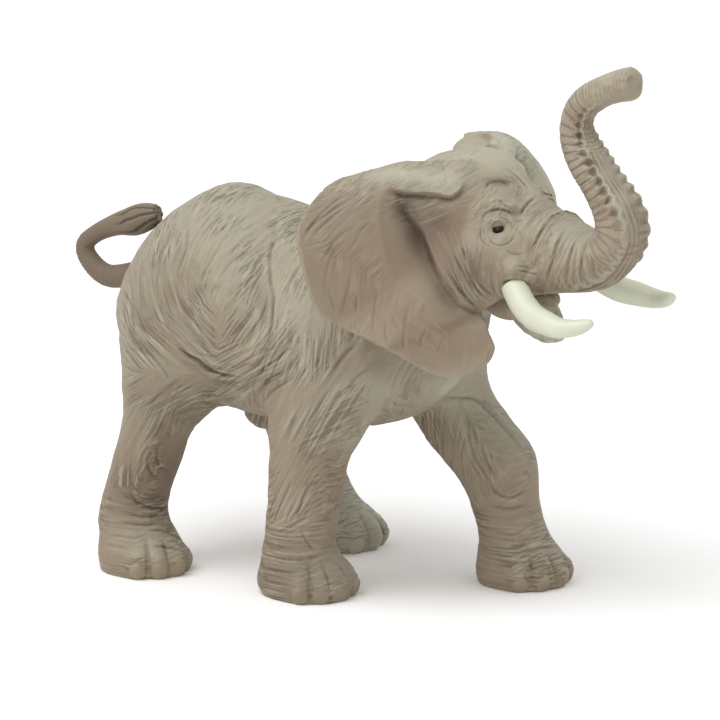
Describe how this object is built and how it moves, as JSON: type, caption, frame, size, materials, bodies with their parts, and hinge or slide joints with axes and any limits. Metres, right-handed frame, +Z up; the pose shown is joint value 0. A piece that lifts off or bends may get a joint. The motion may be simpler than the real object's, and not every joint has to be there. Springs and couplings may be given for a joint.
{
  "type": "toy elephant figure",
  "caption": "Toy African elephant figure in soft plastic, walking with its ears spread, its tusks bared and its trunk raised in an S.",
  "frame": {"origin": "middle of the figure's box, on the ground under it", "axes": "+X from the tail towards the trunk, +Y to the animal's left, +Z up"},
  "size_m": [0.1726, 0.1018, 0.1402],
  "materials": {
    "hide": "soft plastic, grey-brown with a darker wash in the wrinkles and pale brushed ridges",
    "ivory": "smooth satin paint, pale greenish ivory",
    "eye_gloss": "gloss, nearly black"
  },
  "bodies": {
    "root": {"torso": "hide", "front_left_leg": "hide", "front_right_leg": "hide", "hind_left_leg": "hide", "hind_right_leg": "hide", "head": "hide", "trunk": "hide", "lower_jaw": "hide", "left_ear": "hide", "right_ear": "hide", "tail": "hide", "left_tusk": "ivory", "right_tusk": "ivory", "left_eye": "eye_gloss", "right_eye": "eye_gloss"}
  },
  "joints": []
}
